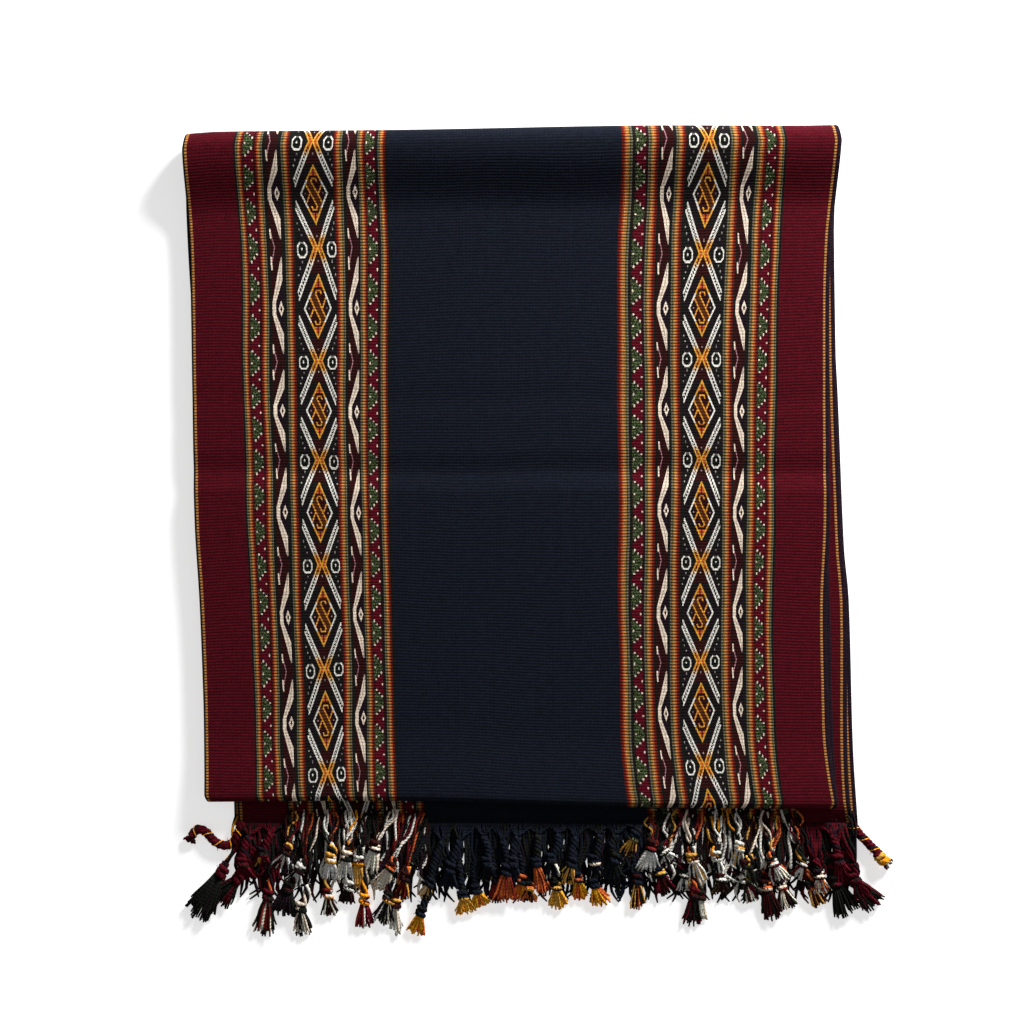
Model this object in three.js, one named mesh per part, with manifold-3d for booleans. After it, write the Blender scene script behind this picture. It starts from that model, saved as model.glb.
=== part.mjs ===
// A handwoven wool carrying cloth, folded in four and lying flat, with a knotted fringe at each end.
// Millimetres, +Z up. The lowest layer lies on the plane z = 0. +Y points to the outer fold, and both
// fringed ends lie towards -Y. The cloth is one sheet: from its upper end (layer C) it runs to the
// inner fold, back along layer B to the front fold, over the top as layer A to the outer fold, and
// under everything as layer D to its lower end.

import * as THREE from 'three';
import { mergeVertices } from 'three/addons/utils/BufferGeometryUtils.js';
import Module from 'manifold-3d';

// Sheet and stack
const SHEET = 1.5; // thickness of the cloth
const LAYER_PITCH = 3.0; // from the middle of one layer to the middle of the next
const COLUMNS = 8; // steps across the cloth

// Folds: depth is how far the nose reaches past its centre line, rise is how far the upper layer
// swells there, and reach is how far that swelling runs back into the layer
const OUTER = { depth: 10.5, rise: 10.5, reach: 44 };
const INNER = { depth: 6, rise: 8, reach: 38, behindOuter: 18 };
const FRONT = { depth: 3.4, rise: 2.6, reach: 46 };
const OUTER_UNEVEN = { share: 0.05, length: 52 }; // the outer fold's height varies along it
const NOSE_TUCK = 1.6; // a fold is this much narrower at its tip than at its root, each side

// Ends of the cloth and the fringe's root strips
const UPPER_END = -231; // y of layer C's woven end
const LOWER_END = -233; // y of layer D's woven end
const PARTING = 0.3; // between the woven end and the strip
const STRIP = 2; // width of a root strip

// Fold lines across the cloth: the tip of the outer fold and the tip of the front fold
const OUTER_LINE = [
  { x: -211, y: 213.5 },
  { x: -190, y: 215 },
  { x: -60, y: 216.5 },
  { x: 80, y: 219 },
  { x: 185, y: 219 },
  { x: 211, y: 219.5 },
];
const FRONT_LINE = [
  { x: -199, y: -215.8 },
  { x: -73, y: -215.2 },
  { x: 70, y: -219 },
  { x: 211, y: -220.3 },
];

// Side edges of each layer, along y
const EDGES_A = [
  { y: 207, left: -211.5, right: 211 },
  { y: 172, left: -210, right: 208.5 },
  { y: 146, left: -208.5, right: 206 },
  { y: 107, left: -207.5, right: 204.5 },
  { y: 43, left: -206.5, right: 204.5 },
  { y: -35, left: -205, right: 205 },
  { y: -86, left: -202, right: 203 },
  { y: -151, left: -199.5, right: 204 },
  { y: -177, left: -199, right: 205 },
  { y: -202, left: -198.5, right: 208 },
  { y: -215, left: -198.5, right: 210.5 },
];
const EDGES_B = [
  { y: 200, left: -209, right: 208 },
  { y: 172, left: -209, right: 206 },
  { y: 107, left: -206.5, right: 203 },
  { y: 43, left: -205, right: 203 },
  { y: -35, left: -202.5, right: 203.5 },
  { y: -86, left: -200, right: 205.5 },
  { y: -151, left: -198, right: 206.8 },
  { y: -190, left: -198, right: 208.5 },
  { y: -215, left: -198.5, right: 210.5 },
];
const EDGES_C = [
  { y: 200, left: -209, right: 208 },
  { y: 107, left: -201, right: 209 },
  { y: 43, left: -196, right: 210.3 },
  { y: -54, left: -188, right: 214 },
  { y: -86, left: -186, right: 216.7 },
  { y: -183, left: -180, right: 217.1 },
  { y: -220, left: -178, right: 218.9 },
  { y: -231, left: -177.5, right: 221 },
];
const EDGES_D = [
  { y: 207, left: -212, right: 211 },
  { y: 172, left: -212, right: 209.5 },
  { y: 107, left: -208.5, right: 208.5 },
  { y: 43, left: -203, right: 211.5 },
  { y: -54, left: -191, right: 215.5 },
  { y: -86, left: -188, right: 218.5 },
  { y: -183, left: -182, right: 221.3 },
  { y: -233, left: -180.5, right: 224.5 },
];

// Creases and swells of the top layer: where, how high, and how far they run each way
const TOP_RELIEF = [
  { y: 43, rise: -0.4, behind: 14, ahead: 12 },
  { y: -3, rise: -1.1, behind: 15, ahead: 8 },
  { y: -17, rise: 1.0, behind: 9, ahead: 100 },
];

// Fringe: locks stand side by side, those of the two ends taking turns
const LOCKS = 32; // per end
const LOCK_PITCH = 12.4;
const LOWER_FIRST = -174; // x of the lower end's first lock
const CORD = { width: 3.0, height: 2.6 };
const KNOT = { width: 5.8, height: 4.6, length: 6 };
const TUFT = { neck: 3.8, height: 3.0, length: 17, flareFromTip: 3.5 };
const UPPER_FLARE = 5.2; // width of an upper tuft near its tip
const LOWER_FLARE = 8.6; // the lower tufts reach past the upper ones and spread wider
const ROOT_DEPTH = 1; // how far a lock runs into its strip
const SWAY = { size: 1.1, alongLock: 9, across: 34 };
const LEAN_OVER = 60; // the length over which LEAN is given

// How far the locks lean sideways, and how far the tips reach from the strip
const LEAN = [
  { x: -180, lean: -32 },
  { x: -150, lean: -14 },
  { x: -110, lean: -3 },
  { x: -60, lean: 2 },
  { x: 100, lean: -1 },
  { x: 180, lean: 4 },
  { x: 225, lean: 14 },
];
const UPPER_REACH = [
  { x: -180, reach: 40 },
  { x: -130, reach: 43 },
  { x: -80, reach: 46 },
  { x: -40, reach: 38 },
  { x: 50, reach: 35 },
  { x: 95, reach: 37 },
  { x: 130, reach: 43 },
  { x: 225, reach: 40 },
];
const LOWER_REACH = [
  { x: -180, reach: 53 },
  { x: -150, reach: 65 },
  { x: -100, reach: 62 },
  { x: -70, reach: 64 },
  { x: -40, reach: 51 },
  { x: 50, reach: 47 },
  { x: 115, reach: 60 },
  { x: 150, reach: 54 },
  { x: 225, reach: 52 },
];
const REACH_UNEVEN = { size: 2.2, step: 2.4 };

// Corner braids of the upper end: points from the cloth's corner, z being the underside
const BRAID = { width: 3.6, height: 3.2 };
const LEFT_BRAID = [
  { x: -175.5, y: -232.4, z: 2.9 },
  { x: -178.5, y: -238.5, z: 1.9 },
  { x: -182, y: -244.5, z: 0 },
  { x: -187, y: -246, z: 0 },
  { x: -194, y: -240.5, z: 0 },
  { x: -201, y: -235.5, z: 0 },
  { x: -207.5, y: -238, z: 0 },
  { x: -209.5, y: -243, z: 0 },
];
const RIGHT_BRAID = [
  { x: 219, y: -232.4, z: 2.9 },
  { x: 224.5, y: -238, z: 2 },
  { x: 230, y: -243.5, z: 0 },
  { x: 236, y: -250, z: 0 },
  { x: 240, y: -254.5, z: 0 },
  { x: 243.5, y: -258.5, z: 0 },
];

const mix = (a, b, t) => a + (b - a) * t;

// A smooth curve through a table's rows: the value of one column at a place along another
function readTable(rows, place, column, at) {
  const rising = rows[0][place] < rows[rows.length - 1][place];
  const sorted = rising ? rows : [...rows].reverse();
  const last = sorted.length - 1;
  const clamped = Math.min(Math.max(at, sorted[0][place]), sorted[last][place]);
  let k = 0;
  while (k < last - 1 && clamped > sorted[k + 1][place]) k += 1;
  const slope = (i) => {
    const a = sorted[Math.max(i - 1, 0)];
    const b = sorted[Math.min(i + 1, last)];
    return (b[column] - a[column]) / (b[place] - a[place]);
  };
  const span = sorted[k + 1][place] - sorted[k][place];
  const t = (clamped - sorted[k][place]) / span;
  const startPull = t * (1 - t) * (1 - t) * span * slope(k);
  const endPull = t * t * (t - 1) * span * slope(k + 1);
  return mix(sorted[k][column], sorted[k + 1][column], t * t * (3 - 2 * t)) + startPull + endPull;
}

// A soft rounded rise that is highest at distance 0 and gone at its reach
const swell = (distance, reach, height) =>
  Math.abs(distance) < reach ? (height * (1 + Math.cos((Math.PI * distance) / reach))) / 2 : 0;

// Centre lines of the three folds, and the two ends
const outerNose = (x) => readTable(OUTER_LINE, 'x', 'y', x) - OUTER.depth;
const innerNose = (x) => outerNose(x) + OUTER.depth - INNER.behindOuter;
const frontNose = (x) => readTable(FRONT_LINE, 'x', 'y', x) + FRONT.depth;
const upperEnd = () => UPPER_END;
const lowerEnd = () => LOWER_END;

// Height of the middle of each layer
const layerBase = (index) => SHEET / 2 + index * LAYER_PITCH;
const outerRise = (x) => OUTER.rise * (1 + OUTER_UNEVEN.share * Math.sin(x / OUTER_UNEVEN.length));
const relief = (y) => TOP_RELIEF.reduce((sum, row) => {
  const reach = y > row.y ? row.behind : row.ahead;
  return sum + swell(y - row.y, reach, row.rise);
}, 0);
const heightA = (x, y) => layerBase(3) + swell(outerNose(x) - y, OUTER.reach, outerRise(x))
  + swell(y - frontNose(x), FRONT.reach, FRONT.rise) + relief(y);
const heightB = (x, y) => layerBase(2) + swell(innerNose(x) - y, INNER.reach, INNER.rise);

const layers = {
  A: { edges: EDGES_A, height: heightA },
  B: { edges: EDGES_B, height: heightB },
  C: { edges: EDGES_C, height: () => layerBase(1) },
  D: { edges: EDGES_D, height: () => layerBase(0) },
};

// Where a point lies across a layer: u is 0 at the left edge and 1 at the right edge
function across(layer, y, u, tuck = 0) {
  const left = readTable(layer.edges, 'y', 'left', y) + tuck;
  const right = readTable(layer.edges, 'y', 'right', y) - tuck;
  return mix(left, right, u);
}

// A stretch of one layer between two lines, as a function of t along it and u across it
const run = (layer, from, to, steps) => ({
  steps,
  point(t, u) {
    const x = across(layer, mix(from(0), to(0), t), u);
    const y = mix(from(x), to(x), t);
    return [x, y, layer.height(x, y)];
  },
});

// The rounded nose that joins two layers at a fold; a negative depth points it to -Y
const nose = (first, second, centre, depth, steps) => ({
  steps,
  point(t, u) {
    const swing = Math.sin(Math.PI * t);
    const xFirst = across(first, centre(0), u, NOSE_TUCK * swing);
    const xSecond = across(second, centre(0), u, NOSE_TUCK * swing);
    const x = mix(xFirst, xSecond, t);
    const y = centre(x) + depth * swing;
    const turn = (1 - Math.cos(Math.PI * t)) / 2;
    return [x, y, mix(first.height(x, centre(x)), second.height(x, centre(x)), turn)];
  },
});

const PATH = [
  run(layers.C, upperEnd, innerNose, 16),
  nose(layers.C, layers.B, innerNose, INNER.depth, 8),
  run(layers.B, innerNose, frontNose, 30),
  nose(layers.B, layers.A, frontNose, -FRONT.depth, 6),
  run(layers.A, frontNose, outerNose, 64),
  nose(layers.A, layers.D, outerNose, OUTER.depth, 12),
  run(layers.D, outerNose, lowerEnd, 16),
];

// The middle of the sheet, from end to end, at one place across it
function middleLine(u) {
  const line = [PATH[0].point(0, u)];
  for (const piece of PATH) {
    for (let i = 1; i <= piece.steps; i += 1) line.push(piece.point(i / piece.steps, u));
  }
  return line;
}

function clothGeometry() {
  const positions = [];
  const rows = middleLine(0).length;
  for (const side of [1, -1]) {
    for (let j = 0; j <= COLUMNS; j += 1) {
      const line = middleLine(j / COLUMNS);
      line.forEach(([x, y, z], i) => {
        const before = line[Math.max(i - 1, 0)];
        const after = line[Math.min(i + 1, rows - 1)];
        const dy = after[1] - before[1];
        const dz = after[2] - before[2];
        const half = (side * SHEET) / 2 / Math.hypot(dy, dz);
        positions.push(x, y - dz * half, z + dy * half);
      });
    }
  }
  const index = [];
  const at = (side, i, j) => (side * (COLUMNS + 1) + j) * rows + i;
  const quad = (a, b, c, d) => index.push(a, b, c, a, c, d);
  for (let i = 0; i < rows - 1; i += 1) {
    for (let j = 0; j < COLUMNS; j += 1) {
      quad(at(0, i, j), at(0, i, j + 1), at(0, i + 1, j + 1), at(0, i + 1, j));
      quad(at(1, i, j), at(1, i + 1, j), at(1, i + 1, j + 1), at(1, i, j + 1));
    }
    quad(at(0, i, 0), at(0, i + 1, 0), at(1, i + 1, 0), at(1, i, 0));
    quad(at(0, i, COLUMNS), at(1, i, COLUMNS), at(1, i + 1, COLUMNS), at(0, i + 1, COLUMNS));
  }
  for (let j = 0; j < COLUMNS; j += 1) {
    quad(at(0, 0, j), at(1, 0, j), at(1, 0, j + 1), at(0, 0, j + 1));
    quad(at(0, rows - 1, j), at(0, rows - 1, j + 1), at(1, rows - 1, j + 1), at(1, rows - 1, j));
  }
  const geometry = new THREE.BufferGeometry();
  geometry.setAttribute('position', new THREE.Float32BufferAttribute(positions, 3));
  geometry.setIndex(index);
  geometry.computeVertexNormals();
  return geometry;
}

// A four-sided lock through stations that give its middle line, underside, width and height
function lockGeometry(stations) {
  const positions = [];
  stations.forEach((station, i) => {
    const before = stations[Math.max(i - 1, 0)];
    const after = stations[Math.min(i + 1, stations.length - 1)];
    const dx = after.x - before.x;
    const dy = after.y - before.y;
    const half = station.width / 2 / Math.hypot(dx, dy);
    const corners = [[1, 0], [1, 1], [-1, 1], [-1, 0]];
    for (const [side, up] of corners) {
      const x = station.x - side * dy * half;
      const y = station.y + side * dx * half;
      positions.push(x, y, station.z + up * station.height);
    }
  });
  const index = [];
  const sides = 4;
  for (let i = 0; i < stations.length - 1; i += 1) {
    for (let k = 0; k < sides; k += 1) {
      const a = i * sides + k;
      const b = i * sides + ((k + 1) % sides);
      index.push(a, b + sides, a + sides, a, b, b + sides);
    }
  }
  const end = (stations.length - 1) * sides;
  index.push(0, 2, 1, 0, 3, 2, end, end + 1, end + 2, end, end + 2, end + 3);
  const geometry = new THREE.BufferGeometry();
  geometry.setAttribute('position', new THREE.Float32BufferAttribute(positions, 3));
  geometry.setIndex(index);
  return geometry;
}

// One lock: a cord that comes down to the floor, a knot, and a tuft that lies level on the floor.
// The drop's rows give the underside's height at a few distances from the strip.
function lockStations(rootX, rootY, drop, reach, flare) {
  const knotStart = reach - TUFT.length - KNOT.length;
  const bodies = [
    ...drop.map((row) => ({ along: row.along, z: row.z, ...CORD, height: row.height ?? CORD.height })),
    { along: knotStart - 1, z: 0, ...CORD },
    { along: knotStart + 1, z: 0, width: KNOT.width, height: KNOT.height },
    { along: knotStart + KNOT.length - 1, z: 0, width: KNOT.width, height: KNOT.height },
    { along: knotStart + KNOT.length + 1, z: 0, width: TUFT.neck, height: TUFT.height },
    { along: reach - TUFT.flareFromTip, z: 0, width: flare, height: TUFT.height },
    { along: reach, z: 0, width: TUFT.neck, height: TUFT.height / 2 },
  ];
  const lean = readTable(LEAN, 'x', 'lean', rootX);
  return bodies.map(({ along, z, width, height }) => {
    const out = Math.max(along, 0);
    const sway = SWAY.size * Math.sin(out / SWAY.alongLock) * Math.sin(rootX / SWAY.across);
    const x = rootX + lean * (out / LEAN_OVER) ** 1.3 + sway;
    return { x, y: rootY - along, z, width, height };
  });
}

const wasm = await Module();
wasm.setup();

function toSolid(source) {
  const bare = source.clone();
  bare.deleteAttribute('normal');
  bare.deleteAttribute('uv');
  const merged = mergeVertices(bare);
  const vertProperties = new Float32Array(merged.attributes.position.array);
  const triVerts = new Uint32Array(merged.index.array);
  return new wasm.Manifold(new wasm.Mesh({ numProp: 3, vertProperties, triVerts }));
}

function toGeometry(solid) {
  const mesh = solid.getMesh();
  const geometry = new THREE.BufferGeometry();
  geometry.setAttribute('position', new THREE.BufferAttribute(new Float32Array(mesh.vertProperties), 3));
  geometry.setIndex(new THREE.BufferAttribute(new Uint32Array(mesh.triVerts), 1));
  geometry.computeVertexNormals();
  return geometry;
}

// A fringe: its root strip along one woven end, with every lock fused into it
function fringeGeometry({ layer, endY, firstX, drop, reachTable, flare, braids }) {
  const left = across(layer, endY, 0);
  const right = across(layer, endY, 1);
  const stripGeometry = new THREE.BoxGeometry(right - left, STRIP, SHEET);
  const stripY = endY - PARTING - STRIP / 2;
  stripGeometry.translate((left + right) / 2, stripY, layer.height(0, endY));
  let solid = toSolid(stripGeometry);
  const rootY = stripY - STRIP / 2;
  for (let i = 0; i < LOCKS; i += 1) {
    const x = firstX + i * LOCK_PITCH;
    const uneven = REACH_UNEVEN.size * Math.sin(i * REACH_UNEVEN.step);
    const reach = readTable(reachTable, 'x', 'reach', x) + uneven;
    solid = solid.add(toSolid(lockGeometry(lockStations(x, rootY, drop, reach, flare))));
  }
  for (const braid of braids) {
    const stations = braid.map((point) => ({ ...point, ...BRAID }));
    stations[0].height = SHEET;
    solid = solid.add(toSolid(lockGeometry(stations)));
  }
  return toGeometry(solid);
}

// The upper locks cross over the lower strip before they reach the floor
const UPPER_DROP = [
  { along: -ROOT_DEPTH, z: layerBase(1) - SHEET / 2 + 0.1, height: SHEET - 0.2 },
  { along: 2.6, z: 2.4 },
  { along: 6, z: 1.1 },
  { along: 10, z: 0 },
];
const LOWER_DROP = [
  { along: -ROOT_DEPTH, z: 0, height: SHEET - 0.1 },
  { along: 1.6, z: 0 },
  { along: 8, z: 0 },
];

const upperFringe = fringeGeometry({
  layer: layers.C,
  endY: UPPER_END,
  firstX: LOWER_FIRST + LOCK_PITCH / 2,
  drop: UPPER_DROP,
  reachTable: UPPER_REACH,
  flare: UPPER_FLARE,
  braids: [LEFT_BRAID, RIGHT_BRAID],
});
const lowerFringe = fringeGeometry({
  layer: layers.D,
  endY: LOWER_END,
  firstX: LOWER_FIRST,
  drop: LOWER_DROP,
  reachTable: LOWER_REACH,
  flare: LOWER_FLARE,
  braids: [],
});

function piece(name, geometry, color) {
  const material = new THREE.MeshStandardMaterial({ color, roughness: 0.95, metalness: 0 });
  const mesh = new THREE.Mesh(geometry, material);
  mesh.name = name;
  return mesh;
}

const group = new THREE.Group();
group.add(piece('cloth', clothGeometry(), 0x4a1626));
group.add(piece('fringe_upper_end', upperFringe, 0x8a6a3c));
group.add(piece('fringe_lower_end', lowerFringe, 0x2a2430));

export default group;
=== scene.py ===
"""A handwoven wool carrying cloth, folded in four, with a knotted fringe at each end.

Sizes are in millimetres unless a name ends in _M; the meshes are written in metres.
"""

import math

import bpy
import numpy as np
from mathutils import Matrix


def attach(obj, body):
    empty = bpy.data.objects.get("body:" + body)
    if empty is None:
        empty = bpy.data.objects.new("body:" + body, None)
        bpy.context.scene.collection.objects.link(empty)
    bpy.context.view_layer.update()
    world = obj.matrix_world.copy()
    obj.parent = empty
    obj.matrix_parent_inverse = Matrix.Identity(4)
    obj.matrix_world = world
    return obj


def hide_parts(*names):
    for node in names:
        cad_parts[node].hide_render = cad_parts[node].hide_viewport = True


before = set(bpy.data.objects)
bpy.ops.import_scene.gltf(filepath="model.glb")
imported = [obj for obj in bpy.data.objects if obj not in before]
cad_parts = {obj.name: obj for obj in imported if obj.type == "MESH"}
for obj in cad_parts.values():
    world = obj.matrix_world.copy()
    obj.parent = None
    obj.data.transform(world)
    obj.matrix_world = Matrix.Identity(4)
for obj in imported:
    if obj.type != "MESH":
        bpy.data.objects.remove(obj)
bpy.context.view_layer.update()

MM = 0.001

# Sheet and stack, as in the solids
SHEET = 1.5
LAYER_PITCH = 3.0
OUTER = dict(depth=10.5, rise=10.5, reach=44.0)
INNER = dict(depth=6.0, rise=8.0, reach=38.0, behind_outer=18.0)
FRONT = dict(depth=3.4, rise=2.6, reach=46.0)
OUTER_UNEVEN = dict(share=0.05, length=52.0)
NOSE_TUCK = 1.6
UPPER_END = -231.0
LOWER_END = -233.0

# Tips of the outer and the front fold across the cloth: x, y
OUTER_LINE = [(-211, 213.5), (-190, 215), (-60, 216.5), (80, 219), (185, 219), (211, 219.5)]
FRONT_LINE = [(-199, -215.8), (-73, -215.2), (70, -219), (211, -220.3)]

# Side edges of each layer: y, left, right
EDGES_A = [
    (-215, -198.5, 210.5), (-202, -198.5, 208), (-177, -199, 205), (-151, -199.5, 204),
    (-86, -202, 203), (-35, -205, 205), (43, -206.5, 204.5), (107, -207.5, 204.5),
    (146, -208.5, 206), (172, -210, 208.5), (207, -211.5, 211),
]
EDGES_B = [
    (-215, -198.5, 210.5), (-190, -198, 208.5), (-151, -198, 206.8), (-86, -200, 205.5),
    (-35, -202.5, 203.5), (43, -205, 203), (107, -206.5, 203), (172, -209, 206),
    (200, -209, 208),
]
EDGES_C = [
    (-231, -177.5, 221), (-220, -178, 218.9), (-183, -180, 217.1), (-86, -186, 216.7),
    (-54, -188, 214), (43, -196, 210.3), (107, -201, 209), (200, -209, 208),
]
EDGES_D = [
    (-233, -180.5, 224.5), (-183, -182, 221.3), (-86, -188, 218.5), (-54, -191, 215.5),
    (43, -203, 211.5), (107, -208.5, 208.5), (172, -212, 209.5), (207, -212, 211),
]

# Creases and swells of the top layer: y, rise, reach towards +Y, reach towards -Y
TOP_RELIEF = [(43, -0.4, 14, 12), (-3, -1.1, 15, 8), (-17, 1.0, 9, 100)]

# Weave: a rib is one weft, and a warp unit is the finest line of the patterns
RIB = 1.93
RIB_RISE = 0.06
WARP = 0.645
CLOTH_WIDTH = 411.5
MOTIF_REPEAT = 104.5  # in warp units along the cloth
SMALL_PERIOD = MOTIF_REPEAT / 3
SMALL_START = 10.0  # first dotted slant of the small bands, after a crossing

# Length along the cloth at each crossing and each lozenge's middle, kept by the weaver's eye
LEFT_MOTIFS = [1299, 1266.5, 1231.1, 1191.2, 1156.6, 1124, 1091.8, 1057.3, 1023.5]
LEFT_MOTIFS += [989.8, 955.5, 922.1, 887.9]
RIGHT_MOTIFS = [1297.5, 1263, 1224.9, 1190.2, 1158.2, 1124.7, 1093.7, 1059.2, 1027.6]
RIGHT_MOTIFS += [994.4, 963.3, 931.2, 896.8]
HALF_MOTIF = 34.2  # beyond the lists
LEFT_BAND, RIGHT_BAND = 81.0, 327.0  # where the two lists hold, across the cloth

# How far the stripes stray to the right as the cloth lies: length, then the stray at each place
STRAY_PLACES = [0, 41, 81, 117, 276, 327, 372, 411.5]
STRAY = [
    (910, 0, -1.1, -0.3, -1.4, 0.5, 1.0, 0.5, 0),
    (942, 0, -0.3, 0, -1.1, 1.0, 0.5, 0.2, 0),
    (973, 0, -0.3, -0.3, -1.0, 1.4, 0.8, 0.7, 0),
    (1005, 0, -0.3, -0.3, -0.8, 1.6, 0.8, 1.6, 0),
    (1036, 0, 0.2, -0.2, -0.2, 1.5, 0.4, 1.1, 0),
    (1068, 0, 0, -0.2, 0.3, 1.3, 0.5, 1.3, 0),
    (1099, 0, -0.7, 0.3, 0.5, 1.3, 1.5, 2.1, 0),
    (1131, 0, -2.0, 1.0, 0.5, 0.9, 2.1, 2.7, 0),
    (1162, 0, -2.2, 1.4, 1.0, 0.8, 2.4, 2.9, 0),
    (1194, 0, -1.6, 1.6, 1.1, 0.8, 2.9, 3.5, 0),
    (1225, 0, -1.7, 1.6, 1.0, 1.1, 2.9, 3.9, 0),
    (1257, 0, -1.8, 0.5, 0.3, 1.6, 2.4, 2.8, 0),
    (1288, 0, -1.6, 0.2, 0.3, 1.1, 1.1, 2.4, 0),
]


def curve_through(rows, column, at):
    """A smooth curve through a table's rows: the first column is the place along it."""
    table = np.array(rows, float)
    place, value = table[:, 0], table[:, column]
    last = len(place) - 1
    before = np.maximum(np.arange(last + 1) - 1, 0)
    after = np.minimum(np.arange(last + 1) + 1, last)
    slope = (value[after] - value[before]) / (place[after] - place[before])
    at = np.clip(at, place[0], place[-1])
    k = np.clip(np.searchsorted(place, at, side="right") - 1, 0, last - 1)
    span = place[k + 1] - place[k]
    t = (at - place[k]) / span
    ease = t * t * (3 - 2 * t)
    pull = t * (1 - t) ** 2 * span * slope[k] + t * t * (t - 1) * span * slope[k + 1]
    return value[k] + (value[k + 1] - value[k]) * ease + pull


def swell(distance, reach, height):
    """A soft rounded rise, highest at distance 0 and gone at its reach."""
    share = (1 + np.cos(np.pi * np.clip(np.abs(distance) / reach, 0, 1))) / 2
    return height * share


def outer_nose(x):
    return curve_through(OUTER_LINE, 1, x) - OUTER["depth"]


def inner_nose(x):
    return outer_nose(x) + OUTER["depth"] - INNER["behind_outer"]


def front_nose(x):
    return curve_through(FRONT_LINE, 1, x) + FRONT["depth"]


def level(value):
    """A line or a height that is the same everywhere."""
    return lambda x, *_: np.full_like(x, value)


def layer_base(index):
    return SHEET / 2 + index * LAYER_PITCH


def relief(y):
    total = np.zeros_like(y)
    for place, rise, behind, ahead in TOP_RELIEF:
        total += swell(y - place, np.where(y > place, behind, ahead), rise)
    return total


def height_a(x, y):
    outer = OUTER["rise"] * (1 + OUTER_UNEVEN["share"] * np.sin(x / OUTER_UNEVEN["length"]))
    at_outer = swell(outer_nose(x) - y, OUTER["reach"], outer)
    at_front = swell(y - front_nose(x), FRONT["reach"], FRONT["rise"])
    return layer_base(3) + at_outer + at_front + relief(y)


def height_b(x, y):
    return layer_base(2) + swell(inner_nose(x) - y, INNER["reach"], INNER["rise"])


LAYER_A = (EDGES_A, height_a)
LAYER_B = (EDGES_B, height_b)
LAYER_C = (EDGES_C, level(layer_base(1)))
LAYER_D = (EDGES_D, level(layer_base(0)))


def across(layer, y, u, tuck=0.0):
    left = curve_through(layer[0], 1, y) + tuck
    right = curve_through(layer[0], 2, y) - tuck
    return left + (right - left) * u


def run(layer, start, end):
    """A stretch of one layer between two lines: t runs along it, u across it."""

    def point(t, u):
        middle = np.zeros_like(t)
        x = across(layer, start(middle) + (end(middle) - start(middle)) * t, u)
        y = start(x) + (end(x) - start(x)) * t
        return x, y, layer[1](x, y)

    return point


def nose(first, second, centre, depth):
    """The rounded nose that joins two layers at a fold."""

    def point(t, u):
        swing = np.sin(np.pi * t)
        middle = centre(np.zeros_like(t))
        x_first = across(first, middle, u, NOSE_TUCK * swing)
        x_second = across(second, middle, u, NOSE_TUCK * swing)
        x = x_first + (x_second - x_first) * t
        y = centre(x)
        low, high = first[1](x, y), second[1](x, y)
        turn = (1 - np.cos(np.pi * t)) / 2
        return x, y + depth * swing, low + (high - low) * turn

    return point


PATH = [
    run(LAYER_C, level(UPPER_END), inner_nose),
    nose(LAYER_C, LAYER_B, inner_nose, INNER["depth"]),
    run(LAYER_B, inner_nose, front_nose),
    nose(LAYER_B, LAYER_A, front_nose, -FRONT["depth"]),
    run(LAYER_A, front_nose, outer_nose),
    nose(LAYER_A, LAYER_D, outer_nose, OUTER["depth"]),
    run(LAYER_D, outer_nose, level(LOWER_END)),
]
TOP_RUN = 4  # the layer of PATH that is seen from above


def middle_surface(g, u):
    """The middle of the sheet at path places g, one a row, and at places u across it."""
    u = np.atleast_2d(np.asarray(u, float))
    g = np.asarray(g, float)[:, None]
    g, u = np.broadcast_arrays(g, u)
    piece = np.clip(np.floor(g), 0, len(PATH) - 1).astype(int)
    points = np.zeros(g.shape + (3,))
    for index, place in enumerate(PATH):
        rows = np.where(piece[:, 0] == index)[0]
        if len(rows):
            x, y, z = place(g[rows] - index, u[rows])
            points[rows] = np.stack([x, y, z], axis=-1)
    return points


def length_table():
    """Path places and the warp length up to each, along the middle of the cloth."""
    g = np.linspace(0, len(PATH), 2801)
    points = middle_surface(g, 0.5)[:, 0]
    step = np.linalg.norm(np.diff(points, axis=0), axis=1)
    return g, np.concatenate([[0.0], np.cumsum(step)])


PLACES, LENGTHS = length_table()
TOP_START, TOP_END = np.interp([TOP_RUN, TOP_RUN + 1], PLACES, LENGTHS)


def srgb(red, green, blue):
    """The linear colour of a screen colour given from 0 to 255."""

    def linear(value):
        value = value / 255
        return value / 12.92 if value <= 0.04045 else ((value + 0.055) / 1.055) ** 2.4

    return (linear(red), linear(green), linear(blue), 1.0)


MAROON = srgb(77, 12, 23)
NAVY = srgb(21, 25, 35)
BLACK_GREEN = srgb(24, 26, 22)
BLACK_PURPLE = srgb(32, 20, 28)
BROWN = srgb(48, 18, 18)
WHITE = srgb(226, 222, 212)
CREAM = srgb(234, 215, 194)
YELLOW = srgb(226, 154, 94)
GOLD = srgb(214, 154, 52)
ORANGE = srgb(194, 94, 48)
RED = srgb(112, 32, 28)
GREEN = srgb(102, 98, 64)
LEAF = srgb(82, 96, 62)
DARK_LEAF = srgb(38, 42, 26)
WINE = srgb(88, 14, 28)
HEATHER = srgb(124, 114, 98)
RUST = srgb(160, 62, 38)
AMBER = srgb(186, 134, 66)
STRAW = srgb(212, 158, 70)
COPPER = srgb(84, 43, 22)
MARIGOLD = srgb(236, 150, 30)
PINK = srgb(170, 120, 130)
GREY = srgb(158, 154, 146)


def maths_operator(operation, swapped=False):
    """A Python operator that adds its Math node."""

    def apply(*values):
        return values[0].shader.maths(operation, *(values[::-1] if swapped else values))

    return apply


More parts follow.
